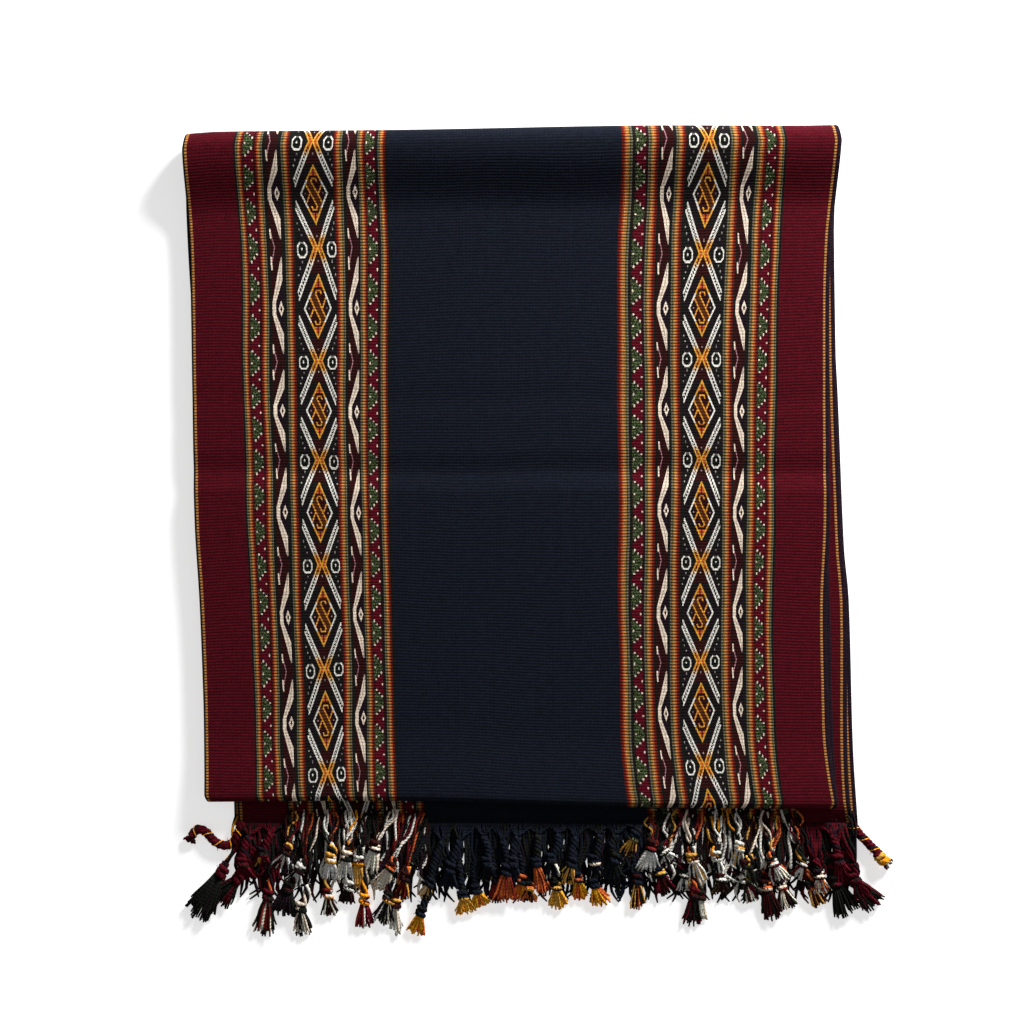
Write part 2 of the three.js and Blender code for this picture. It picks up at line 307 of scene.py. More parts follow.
class Number:
    """A socket that carries a number, so that shader maths reads as Python."""

    def __init__(self, shader, socket):
        self.shader = shader
        self.socket = socket

    __add__ = __radd__ = maths_operator("ADD")
    __sub__ = maths_operator("SUBTRACT")
    __rsub__ = maths_operator("SUBTRACT", swapped=True)
    __mul__ = __rmul__ = maths_operator("MULTIPLY")
    __truediv__ = maths_operator("DIVIDE")
    __lt__ = maths_operator("LESS_THAN")
    __gt__ = maths_operator("GREATER_THAN")
    __abs__ = maths_operator("ABSOLUTE")


def set_stops(ramp, stops):
    """Gives a ramp one plain colour from each stop to the next."""
    ramp.interpolation = "CONSTANT"
    while len(ramp.elements) < len(stops):
        ramp.elements.new(1.0)
    for element, (place, colour) in zip(ramp.elements, stops):
        element.position = place
        element.color = colour


class Shader:
    """The node tree of one material."""

    def __init__(self, name):
        self.material = bpy.data.materials.new(name)
        self.material.use_nodes = True
        self.tree = self.material.node_tree
        self.tree.nodes.clear()

    def node(self, kind, settings=None, **values):
        """Adds a node: its settings first, then the values or links of its sockets."""
        made = self.tree.nodes.new("ShaderNode" + kind)
        for key, value in (settings or {}).items():
            if key == "stops":
                set_stops(made.color_ramp, value)
            else:
                setattr(made, key, value)
        for key, value in values.items():
            self.feed(made.inputs[key.replace("_", " ")], value)
        return made

    def feed(self, socket, value):
        if isinstance(value, Number):
            value = value.socket
        if isinstance(value, bpy.types.NodeSocket):
            self.tree.links.new(value, socket)
        else:
            socket.default_value = value

    def maths(self, operation, *values):
        made = self.node("Math", {"operation": operation})
        for socket, value in zip(made.inputs, values):
            self.feed(socket, value)
        return Number(self, made.outputs[0])

    def least(self, first, *others):
        for other in others:
            first = self.maths("MINIMUM", first, other)
        return first

    def most(self, first, *others):
        for other in others:
            first = self.maths("MAXIMUM", first, other)
        return first

    def clamp(self, value):
        return self.most(self.least(value, 1.0), 0.0)

    def fraction(self, value):
        return self.maths("FRACT", value)

    def cosine(self, value):
        return self.maths("COSINE", value)

    def wrap(self, value, half):
        """The value brought between -half and half by whole repeats."""
        return self.maths("WRAP", value, half, -half)

    def between(self, value, low, high):
        return (value > low) * (value < high)

    def hypotenuse(self, x, y):
        return self.maths("SQRT", x * x + y * y)

    def stroke(self, x, y, start, end, half):
        """1 within half of the straight line from start to end."""
        run_x, run_y = end[0] - start[0], end[1] - start[1]
        square = run_x * run_x + run_y * run_y
        x, y = x - start[0], y - start[1]
        along = self.clamp((x * run_x + y * run_y) / square)
        return self.hypotenuse(x - along * run_x, y - along * run_y) < half

    def dot(self, x, y, centre, half_x, half_y):
        return self.hypotenuse((x - centre[0]) / half_x, (y - centre[1]) / half_y) < 1.0

    def blend(self, share, under, over, kind="MIX"):
        """Colour under with colour over laid on it by a share."""
        made = self.node("Mix", {"data_type": "RGBA", "blend_type": kind})
        self.feed(made.inputs[0], share)
        self.feed(made.inputs[6], under)
        self.feed(made.inputs[7], over)
        return made.outputs[2]

    def steps(self, value, stops):
        """The colour of the last stop that a value has passed."""
        return self.node("ValToRGB", {"stops": stops}, Fac=value).outputs[0]

    def grey(self, value):
        """A number as a colour of equal parts."""
        return self.node("CombineColor", Red=value, Green=value, Blue=value).outputs[0]

    def vector(self, x, y, z=0.0):
        return self.node("CombineXYZ", X=x, Y=y, Z=z).outputs[0]

    def noise(self, vector, scale=1.0, detail=2.0, roughness=0.5):
        made = self.node(
            "TexNoise", Vector=vector, Scale=scale, Detail=detail, Roughness=roughness
        )
        return Number(self, made.outputs[0])

    def map_place(self, name):
        """The two numbers of a UV map."""
        where = self.node("UVMap", {"uv_map": name}).outputs[0]
        parts = self.node("SeparateXYZ", Vector=where).outputs
        return Number(self, parts[0]), Number(self, parts[1])

    def dye(self):
        """The colour that the mesh carries."""
        return self.node("Attribute", {"attribute_name": "Dye"}).outputs[0]

    def wool(self, colour, height):
        """Matt wool of a colour that varies, with a relief in millimetres."""
        bump = self.node("Bump", Height=height, Strength=1.0, Distance=MM)
        surface = self.node("BsdfPrincipled", Base_Color=colour, Normal=bump.outputs[0])
        surface.inputs["Roughness"].default_value = 1.0
        surface.inputs["Specular IOR Level"].default_value = 0.06
        self.node("OutputMaterial", Surface=surface.outputs[0])
        return self.material


def stripe(start, end, kind, flip=False):
    return dict(start=start, end=end, kind=kind, flip=flip)


# The stripes across the cloth: start and end from its left edge, kind, and True where flipped. What
# lies between them is ground. A guard runs through GUARD_STOPS from its left, or back if flipped.
STRIPE_ROWS = [
    (0, 1.2, "selvedge"), (1.2, 2.9, "edge line"), (2.9, 33.6, "maroon"), (34.8, 39.4, "guard"),
    (39.4, 46.4, "small"), (46.4, 51.0, "guard", True), (53.0, 60.3, "wave"),
    (62.2, 67.2, "guard"), (68.9, 93.1, "main"), (93.1, 98.7, "guard", True),
    (100.6, 107.7, "wave"), (108.4, 113.1, "guard"), (113.1, 120.2, "small"),
    (121.3, 126.0, "guard"), (127.7, 273.3, "navy"), (273.3, 280.4, "guard", True),
    (282.0, 290.0, "small"), (290.5, 297.0, "guard"), (298.6, 305.9, "wave"),
    (307.2, 313.2, "guard"), (314.8, 339.5, "main"), (340.7, 346.7, "guard"),
    (347.7, 354.8, "wave"), (356.7, 362.2, "guard"), (362.2, 369.1, "small"),
    (369.1, 373.9, "guard", True), (375.5, 406.9, "maroon"), (406.9, 408.6, "edge line"),
    (408.6, 411.5, "selvedge"),
]
STRIPES = [stripe(*row) for row in STRIPE_ROWS]
GROUND = stripe(0, CLOTH_WIDTH, "ground")
PLAIN_DYES = {
    "maroon": MAROON,
    "navy": NAVY,
    "ground": BLACK_GREEN,
    "selvedge": BLACK_PURPLE,
}
GUARD_STOPS = [(0.0, HEATHER), (0.14, GREEN), (0.26, AMBER), (0.43, YELLOW), (0.56, ORANGE)]
GUARD_STOPS += [(0.7, RUST), (0.8, RED)]
BAND_UNITS = {"main": 37.6, "wave": 11.0, "small": 10.4}  # warp units across each kind of band


def stripe_at(place):
    """The stripe at a place across the cloth."""
    return next((row for row in STRIPES if row["start"] <= place < row["end"]), GROUND)


def band_place(row, place):
    """Where a place lies in its stripe: 0 to 1 in a guard, else warp units from its middle."""
    width = row["end"] - row["start"]
    if row["kind"] == "edge line":
        return 0.28 + 0.3 * (place - row["start"]) / width
    if row["kind"] == "guard":
        share = (place - row["start"]) / width
        return 1 - share if row["flip"] else share
    units = BAND_UNITS.get(row["kind"], width / WARP)
    return (place - (row["start"] + row["end"]) / 2) / width * units


def motif_phase(length, places):
    """How many half repeats of the pattern lie between its first crossing and a length."""
    places = np.array(places, float)
    count = np.interp(-length, -places, np.arange(len(places)))
    before = np.maximum(length - places[0], 0) / HALF_MOTIF
    return count - before + np.maximum(places[-1] - length, 0) / HALF_MOTIF


def paint_main_band(sh, a, c, rib):
    """Crossing double lines with eyes beside them, and lozenges between with a double hook.

    a is the distance from the band's middle and c the one from the nearest crossing, both in
    warp units; rib is the place within a rib.
    """
    side = abs(a)
    far = abs(c)
    b = sh.wrap(c + MOTIF_REPEAT / 2, MOTIF_REPEAT / 2)
    reach = abs(b)
    threads = sh.noise(sh.vector(a * 0.9, c * 0.05))
    colour = sh.blend(threads > 0.52, BLACK_GREEN, BLACK_PURPLE)

    # Lozenge between the crossings
    rim = (side / 12.4 + reach / 28.8 - 1.0) * 11.4
    inside = rim < 0.0
    colour = sh.blend(inside * (side < 7.4), colour, BROWN)
    colour = sh.blend(inside * (abs(a - b * 0.46) < 3.3), colour, COPPER)
    colour = sh.blend(inside * (reach > 18.6), colour, sh.blend(side > 0.8, RED, ORANGE))
    half = sh.maths("SIGN", b)
    x = a * half
    hooks = 0.0
    for start, end in (
        ((2.4, 12.4), (1.6, 15.4)),
        ((1.6, 15.4), (-1.8, 15.4)),
        ((-1.8, 15.4), (-2.8, 12.4)),
        ((2.4, 12.4), (-3.3, 0.0)),
        ((3.3, 0.0), (7.3, 9.0)),
        ((-7.3, 9.0), (-4.0, 0.0)),
    ):
        hooks = sh.most(hooks, sh.stroke(x, reach, start, end, 0.64))
    colour = sh.blend(hooks, colour, sh.blend(rib > 0.3, ORANGE, GOLD))
    colour = sh.blend(sh.dot(side, b, (8.3, 0.0), 0.6, 1.0), colour, PINK)
    rim_line = abs(rim) < 0.72
    rim_dye = sh.blend(reach < 14.0, GOLD, WHITE)
    colour = sh.blend(rim_line, colour, rim_dye)

    # Double lines from the crossing to the band's edges
    lean = side - far * 0.39
    length = far < 45.5 - sh.clamp(lean / 3.0) * 7.0
    line = sh.between(lean, -0.65, 4.3) * (side < 18.6) * length
    core = sh.between(lean, 0.75, 2.95)
    tie = sh.fraction(c / 3.0 + lean * 0.35) < 0.3
    white_line = line * (1.0 - core * (1.0 - tie))
    near = 1.0 - sh.clamp((far - 8.0) / 7.0)
    line_dye = sh.blend(near, WHITE, sh.blend(core * (near > 0.9), GOLD, ORANGE))
    colour = sh.blend((lean < 0.0) * (far < 22.0), colour, BROWN)
    colour = sh.blend(line, colour, sh.blend(far < 13.0, BLACK_GREEN, BROWN))
    colour = sh.blend(sh.most(white_line, line * (far < 4.0)), colour, line_dye)

    # Eyes beside the crossing, with dots above and below
    eye_x = side - 14.3
    eye_c = c - 1.6
    across_eye = abs(eye_x) / 4.7
    along_eye = abs(eye_c) / 7.2
    eye = sh.most(across_eye, along_eye, (across_eye + along_eye) / 1.5)
    colour = sh.blend(eye < 1.0, colour, BLACK_GREEN)
    ring = sh.between(eye, 0.75, 1.0) * (1.0 - (eye_c < -4.0) * (abs(eye_x) < 1.5) * 0.8)
    marks = sh.most(ring, sh.dot(eye_x, eye_c, (0.2, -0.8), 0.7, 1.3))
    colour = sh.blend(marks, colour, WHITE)
    dots = sh.dot(a, far, (0.0, 11.5), 0.6, 1.0)
    for centre in ((14.3, 12.2), (16.2, 17.6), (17.6, 23.4)):
        dots = sh.most(dots, sh.dot(side, far, centre, 0.6, 1.1))
    colour = sh.blend(dots, colour, GREY)
    return colour, sh.most(white_line, marks, rim_line, hooks)


def paint_wave_band(sh, a, c):
    """A thick cream line that swings from the right edge to the left and back, a small lozenge
    beside its bend, and a thin forked line beside each crossing."""
    b = sh.wrap(c + MOTIF_REPEAT / 2, MOTIF_REPEAT / 2)
    k = abs(b)
    left = sh.most(k - 5.5, 0.0) * 0.238 - 5.2
    right = sh.least(sh.most(k - 5.5, 0.0) * 0.36 - 2.0, 4.7)
    thick = sh.between(a, left, right) * (k < 44.0)
    colour = sh.blend(a > left, BROWN, BLACK_PURPLE)
    seam = (abs(a * 2.0 - left - right) < 0.8) * (k > 9.0)
    tick = sh.fraction(b / 4.2 + a * 0.8) < 0.34
    thick_dye = sh.blend(sh.most(tick * 0.18, seam * 0.55), CREAM, BROWN)
    colour = sh.blend(thick, colour, thick_dye)
    lozenge = abs(a - 2.9) / 2.5 + k / 7.4
    colour = sh.blend(lozenge < 1.0, colour, BLACK_PURPLE)
    ring = sh.between(lozenge, 0.42, 1.0)
    bend = sh.most(
        sh.stroke(a, c, (-4.6, -14.0), (-1.4, 0.0), 0.45),
        sh.stroke(a, c, (-1.4, 0.0), (-4.6, 15.0), 0.45),
    )
    forks = sh.most(
        sh.stroke(a, c, (-4.9, -17.0), (-4.4, -9.0), 0.6),
        sh.stroke(a, c, (-5.0, 9.0), (-4.4, 19.0), 0.65),
    )
    colour = sh.blend(bend * (1.0 - thick), colour, PINK)
    colour = sh.blend(sh.most(ring, forks), colour, CREAM)
    return colour, sh.most(thick, ring, forks)


def paint_small_band(sh, a, c, grain):
    """Wedges of maroon that widen to the right and of speckled green that widen to the left, a
    dotted slant along each border, and a dot in the middle of each wide side."""
    c = c - SMALL_START
    wedge = abs(sh.wrap(c - SMALL_PERIOD / 4, SMALL_PERIOD / 2)) - SMALL_PERIOD / 4 - a * 1.22
    colour = sh.blend((grain > 0.5) * 0.6, BROWN, BLACK_PURPLE)
    colour = sh.blend((wedge < -1.7) * sh.between(a, -4.6, 4.0), colour, WINE)
    speckles = sh.blend(grain > 0.52, DARK_LEAF, LEAF)
    colour = sh.blend((wedge > 1.7) * sh.between(a, -4.8, 4.0), colour, speckles)
    dots = 0.0
    for offset, slant, dim in ((0.0, -1.0, 0.0), (0.5, 1.0, 1.0)):
        place = sh.wrap(c - SMALL_PERIOD * offset, SMALL_PERIOD / 2)
        for step in (-1.0, 0.0, 1.0):
            centre = (slant * step * 2.7, step * 3.3)
            dots = sh.most(dots, sh.dot(a, place, centre, 0.85 - (step == 0) * dim * 0.3, 1.15))
    for offset, at in ((0.25, 3.3), (0.75, -3.3)):
        place = sh.wrap(c - SMALL_PERIOD * offset, SMALL_PERIOD / 2)
        dots = sh.most(dots, sh.dot(a, place, (at, 0.0), 0.75, 1.1))
    return sh.blend(dots * 0.85, colour, CREAM), dots


def cloth_material(kind):
    """The weave of one kind of stripe, with painted shade in the valleys between its ribs."""
    sh = Shader("woven_wool_" + kind)
    across_m, length_m = sh.map_place("Weave")
    across_mm, length = across_m * 1000.0, length_m * 1000.0
    ribs = length / RIB
    rib = sh.fraction(ribs)
    crest = sh.cosine((rib - 0.5) * math.tau) * 0.5 + 0.5
    grain = sh.noise(sh.vector(across_mm * 1.1, ribs * 1.7), 1.0, 2.0, 0.65)
    streak = sh.noise(sh.vector(across_mm * 1.2, length * 0.01), 1.0, 1.0)
    weft = sh.noise(sh.vector(across_mm * 0.16, sh.maths("FLOOR", ribs) * 0.73), 1.0, 2.0)
    warp = sh.cosine(across_mm * math.tau / 0.9) * 0.5 + 0.5

    floats = 0.0
    # depth: how much the painted shade darkens the valleys between the ribs
    depth = 0.36
    if kind == "plain":
        colour = sh.dye()
    else:
        a, c = sh.map_place("Band")
        c = c + (sh.fraction(ribs * 2.0) - 0.5) * 0.9
        crossing = sh.wrap(c, MOTIF_REPEAT / 2)
    if kind == "guard":
        colour = sh.steps(a, GUARD_STOPS)
        # Painted shade: darker lines between the guard's threads, where the relief is lower too, and deep
        # painted shade in its rib valleys
        gap = sh.cosine(a * math.tau * 4.0) * 0.5 + 0.5
        depth = 0.9
        crest = crest * (1.0 - gap * 0.35)
    if kind == "main":
        colour, floats = paint_main_band(sh, a, crossing, rib)
    if kind == "wave":
        colour, floats = paint_wave_band(sh, a, crossing)
    if kind == "small":
        colour, floats = paint_small_band(sh, a, c, grain)

    if kind in BAND_UNITS:
        depth = 0.5 - floats * 0.24
    # Painted shade: the colour darkens from each rib's crest to its valleys; the noises after it add the
    # wool's random tone
    shade = 1.0 - (1.0 - crest) * depth
    shade = shade * sh.most(grain * 2.1 + streak * 0.34 + weft * 0.8 - 0.62, 0.2)
    colour = sh.blend(1.0, colour, sh.grey(shade), "MULTIPLY")
    height = crest * 0.11 + warp * 0.05 + grain * 0.14
    if kind in BAND_UNITS:
        height = crest * (1.0 - floats * 0.8) * 0.13 + floats * 0.14 + warp * 0.05 + grain * 0.12
    return sh.wool(colour, height)


def yarn_material():
    """Wool yarn: its colour is on the mesh, and its twist follows the yarn, with painted shade in the
    twist's grooves.
    """
    sh = Shader("fringe_yarn")
    around, along_m = sh.map_place("Twist")
    twist = sh.cosine((around * 2.0 + along_m * 1000.0 / 2.4) * math.tau) * 0.5 + 0.5
    place = sh.node("TexCoord").outputs["Object"]
    fuzz = sh.noise(place, 2400.0, 3.0, 0.65)
    # Painted shade in the grooves of the twist, and random tone from the fuzz noise
    shade = 0.5 + twist * 0.35 + fuzz * 0.4
    colour = sh.blend(1.0, sh.dye(), sh.grey(shade), "MULTIPLY")
    return sh.wool(colour, twist * 0.22 + fuzz * 0.2)


# Cloth mesh
CLOTH_KINDS = ["plain", "guard", "main", "wave", "small"]  # in the order of its materials
WOVEN_AS = {kind: kind for kind in CLOTH_KINDS} | {"edge line": "guard"}
COLUMN_FILL = [18, 75, 81, 87, 148, 168, 188, 208, 228, 248, 321, 327, 333, 392]
SELVEDGE_STEPS = [0.0, 0.35, 0.85]
SELVEDGE_ROUND = 0.9
THIN_EDGE = 0.12  # share of the sheet's squared thickness left at the very edge
TOP_FADE = 8.0  # from a fold, until the top layer's ribs and waves are full

# Unevenness of hand weaving: height, then the lengths it runs over, one way and across it
WAVER = [(0.45, 47, 19), (0.25, 17, 7)]
WAVER_FADE = 20.0
WAVES = [(1, 31, 87), (1, 53, -41)]
WAVE_RISE = 0.16
DRIFT = [(0.7, 36, 60), (0.4, 13, -45)]
ROWS_PER_RIB = 3
PLAIN_STEPS = {0: 30, 1: 12, 2: 30, 3: 10, 5: 20, 6: 48}


def cloth_columns():
    """Places of the mesh's columns across the cloth, and the stripe between each two."""
    places = set(SELVEDGE_STEPS) | {CLOTH_WIDTH - step for step in SELVEDGE_STEPS}
    for row in STRIPES:
        places |= {row["start"], row["end"]}
    places = np.array(sorted(places | set(COLUMN_FILL)), float)
    return places, [stripe_at(middle) for middle in (places[:-1] + places[1:]) / 2]


def cloth_rows():
    """Path places of the mesh's rows, in step with the ribs on the top layer, and the rows that
    its underside has too."""
    rows, shared = [], []
    for index in range(len(PATH)):
        if index == TOP_RUN:
            first, last = math.ceil(TOP_START / RIB), math.floor(TOP_END / RIB)
            lengths = np.arange((last - first) * ROWS_PER_RIB + 1) / ROWS_PER_RIB * RIB + first * RIB
            added = np.interp(lengths, LENGTHS, PLACES)
            kept = np.arange(len(added)) % ROWS_PER_RIB == 0
        else:
            added = np.linspace(index, index + 1, PLAIN_STEPS[index] + 1)[:-1]
            kept = np.ones(len(added), bool)
        rows.append(added)
        shared.append(kept)
    rows.append([len(PATH) - 1e-9])
    shared.append([True])
    return np.concatenate(rows), np.concatenate(shared)


def ripples(rows, x, y):
    """Slow waves added up."""
    return sum(rise * np.sin(x / run_x + y / run_y) for rise, run_x, run_y in rows)


def stripe_wander(length, place):
    """How far a stripe's edge strays from its line, as hand weaving does."""
    from_edge = np.minimum(place, CLOTH_WIDTH - place)
    waver = ripples(WAVER, length, place) * np.clip(from_edge / WAVER_FADE, 0, 1)
    table = np.array(STRAY)
    strays = np.stack([np.interp(length[:, 0], table[:, 0], row) for row in table[:, 1:].T])
    cell = np.clip(np.searchsorted(STRAY_PLACES, place[0], "right") - 1, 0, len(STRAY_PLACES) - 2)
    start, end = np.array(STRAY_PLACES)[cell], np.array(STRAY_PLACES)[cell + 1]
    share = (place[0] - start) / (end - start)
    return waver + (strays[cell] * (1 - share[:, None]) + strays[cell + 1] * share[:, None]).T


def cloth_surface():
    """Points of the cloth's two faces as rows by columns, with their places and lengths."""
    g, shared = cloth_rows()
    places, owners = cloth_columns()
    length = np.interp(g, PLACES, LENGTHS)
    u = (places[None, :] + stripe_wander(length[:, None], places[None, :])) / CLOTH_WIDTH
    middle = middle_surface(g, u)
    tangent = np.gradient(middle, axis=0)
    normal = np.stack([np.zeros(u.shape), -tangent[..., 2], tangent[..., 1]], axis=-1)
    normal /= np.linalg.norm(normal, axis=-1, keepdims=True)

    on_top = np.clip(np.minimum(length - TOP_START, TOP_END - length) / TOP_FADE, 0, 1)[:, None]
    rib = RIB_RISE * np.cos((length / RIB - 0.5) * math.tau)[:, None] * on_top
    from_edge = np.minimum(places, CLOTH_WIDTH - places)
    half = SHEET / 2 * np.sqrt(np.clip(from_edge / SELVEDGE_ROUND, THIN_EDGE, 1))[None, :]
    x, y = middle[..., 0], middle[..., 1]
    middle[..., 2] += WAVE_RISE * ripples(WAVES, x, y) * on_top
    middle[..., 1] += ripples(DRIFT, x, y) * on_top
    upper = middle + normal * (half + rib)[..., None]
    lower = middle - normal * half[..., None]
    return upper, lower, places, owners, length, shared


def cloth_piece():
    upper, lower, places, owners, length, shared = cloth_surface()
    rows, columns = upper.shape[:2]
    kept = np.where(shared)[0]
    points = np.concatenate([upper.reshape(-1, 3), lower[kept].reshape(-1, 3)]) * MM
    top = np.arange(rows * columns).reshape(rows, columns)
    under = np.arange(len(kept) * columns).reshape(-1, columns) + top.size
    row_of = np.concatenate([np.repeat(np.arange(rows), columns), np.repeat(kept, columns)])
    column_of = np.concatenate([np.tile(np.arange(columns), rows), np.tile(np.arange(columns), len(kept))])

    faces, owner = [], []

    def add(corners, column):
        faces.append([int(corner) for corner in corners])
        owner.append(column)

    last = columns - 1
    for k in range(last):
        for r in range(rows - 1):
            add((top[r, k], top[r, k + 1], top[r + 1, k + 1], top[r + 1, k]), k)
        for r in range(len(kept) - 1):
            add((under[r, k], under[r + 1, k], under[r + 1, k + 1], under[r, k + 1]), k)
        add((top[0, k], under[0, k], under[0, k + 1], top[0, k + 1]), k)
        add((top[-1, k], top[-1, k + 1], under[-1, k + 1], under[-1, k]), k)
    for r, (start, end) in enumerate(zip(kept[:-1], kept[1:])):
        add([*top[start : end + 1, 0], under[r + 1, 0], under[r, 0]], 0)
        add([*top[start : end + 1, last][::-1], under[r, last], under[r + 1, last]], last - 1)

    corners = np.concatenate([np.array(face) for face in faces])
    column = np.repeat(owner, [len(face) for face in faces])
    at_row, at_column = row_of[corners], column_of[corners]
    weave = np.stack([places[at_column], length[at_row]], axis=-1) * MM
    local = np.array([[band_place(row, place) for place in places] for row in owners])
    left, right = motif_phase(length, LEFT_MOTIFS), motif_phase(length, RIGHT_MOTIFS)
    share = (places[at_column] - LEFT_BAND) / (RIGHT_BAND - LEFT_BAND)
    phase = left[at_row] + (right - left)[at_row] * share
    band = np.stack([local[column, at_column], phase * MOTIF_REPEAT / 2], axis=-1)
    dyes = np.array([PLAIN_DYES.get(row["kind"], BLACK_GREEN) for row in owners])[column]
    kinds = [WOVEN_AS.get(row["kind"], "plain") for row in owners]
    slots = np.array([CLOTH_KINDS.index(kind) for kind in kinds])[np.array(owner)]
    maps = {"Weave": weave, "Band": band}
    piece = mesh_piece("cloth_woven", points, faces, maps, dyes, "CORNER")
    for kind in CLOTH_KINDS:
        piece.data.materials.append(cloth_material(kind))
    piece.data.polygons.foreach_set("material_index", slots.astype(np.int32))
    return piece


def add_object(name, data):
    made = bpy.data.objects.new(name, data)
    bpy.context.scene.collection.objects.link(made)
    return made


def mesh_piece(name, points, faces, maps, dyes, dyed):
    """A smooth-shaded object from points and faces, with UV maps and dyes."""
    mesh = bpy.data.meshes.new(name)
    mesh.from_pydata(points, [], faces)
    mesh.polygons.foreach_set("use_smooth", np.ones(len(faces), bool))
    for map_name, values in maps.items():
        layer = mesh.uv_layers.new(name=map_name)
        layer.data.foreach_set("uv", np.asarray(values, np.float32).ravel())
    attribute = mesh.color_attributes.new("Dye", "FLOAT_COLOR", dyed)
    attribute.data.foreach_set("color", np.asarray(dyes, np.float32).ravel())
    return add_object(name, mesh)


# Fringe
TASSEL_PITCH = 12.4
LOWER_FIRST = -174.0
CORD = (1.5, 1.35, 8.0)  # radius of a ply, how far it winds out, length of a turn
LOOSE_CORD = (0.95, 1.75, 20.0)
BRAID = (1.6, 1.45, 9.5)
BRAID_THREAD = (0.42, 2.8, 9.5)
LOOSE_PITCH = 1.25
UPPER_REACH, LOWER_REACH = (26, 39), (36, 51)  # of the loose warps
LOOSE_RADII = [1.05, 1.1, 0.5]
STRAND_RADIUS = 0.74
STRANDS = 34  # in a tuft of fullness 1
TUFT_PAINTED_LIGHT, TUFT_CAP = 1.3, 0.9  # painted light: the tufts' cut ends are coloured lighter than the cord, up to a limit
ROOT_YARNS = 10
ROOT_RADIUS = 0.82
LEAST_HEIGHT = 0.02  # of a yarn over the floor
UPPER_RIDE = 3.2  # the upper tassels lie on the lower ones

# Dyes by letter, and the letters of the warps in each kind of stripe
DYES = dict(m=MAROON, k=BLACK_GREEN, p=BLACK_PURPLE, n=NAVY, b=BROWN, w=WHITE, c=CREAM, y=STRAW)
DYES |= dict(g=MARIGOLD, o=ORANGE, r=RED, e=GREEN)
WARP_DYES = {
    "maroon": "mpmmk",
    "navy": "nnnnk",
    "guard": "orbyk",
    "main": "wkwkbg",
    "wave": "cckbw",
    "small": "mkbwk",
    "edge line": "gk",
    "selvedge": "kp",
    "ground": "kbp",
}

# Each tassel: its knot's place, its tip's, the dyes of its tuft, and how full the tuft is
UPPER_TASSELS = [
    (-174.7, -256.3, -172.1, -268.0, "m", 1.1), (-161.7, -249.8, -161.1, -260.8, "yrm", 0.9),
    (-146.2, -248.5, -151.3, -260.8, "mwm", 1.0), (-137.7, -260.2, -143.6, -271.8, "wwk", 0.9),
    (-117.6, -253.7, -118.3, -268.6, "w", 1.1), (-107.3, -252.4, -108.6, -269.3, "wwc", 1.1),
    (-99.5, -255.0, -100.1, -273.1, "y", 0.9), (-89.1, -245.9, -92.4, -263.4, "wwc", 1.2),
    (-78.7, -258.9, -87.8, -273.8, "c", 1.0), (-69.7, -265.4, -72.3, -280.3, "rmy", 0.9),
    (-53.5, -269.3, -58.0, -280.9, "yck", 0.8), (-40.5, -260.2, -42.4, -273.1, "n", 1.2),
    (-16.5, -256.3, -14.6, -268.6, "nnyk", 1.0), (-4.2, -261.5, -6.1, -281.6, "oor", 1.3),
    (0.3, -256.3, 0.3, -270.5, "n", 1.1), (15.3, -256.3, 20.4, -277.7, "oro", 0.8),
    (25.0, -253.7, 26.3, -268.0, "nnc", 1.1), (37.9, -256.3, 34.7, -270.5, "nky", 1.0),
    (52.9, -255.0, 55.4, -266.7, "nkc", 1.0), (65.8, -253.7, 63.2, -268.0, "nk", 1.1),
    (78.8, -239.4, 73.0, -255.0, "mrye", 1.0), (89.8, -245.9, 87.2, -262.8, "w", 1.3),
    (97.6, -248.5, 106.0, -257.6, "wwk", 0.9), (116.4, -253.7, 121.6, -271.2, "ywwk", 1.1),
    (131.9, -252.4, 134.5, -270.5, "cwk", 0.9), (146.9, -245.9, 145.6, -260.2, "yew", 0.9),
    (151.4, -257.6, 154.6, -273.8, "cek", 1.0), (168.2, -256.3, 175.4, -269.9, "wcm", 1.1),
    (187.7, -256.3, 184.4, -267.3, "rmw", 1.0), (198.1, -264.1, 200.7, -277.0, "cwor", 1.0),
    (211.0, -255.0, 216.2, -270.5, "m", 1.3), (221.4, -266.7, 229.2, -279.6, "mmk", 1.2),
]
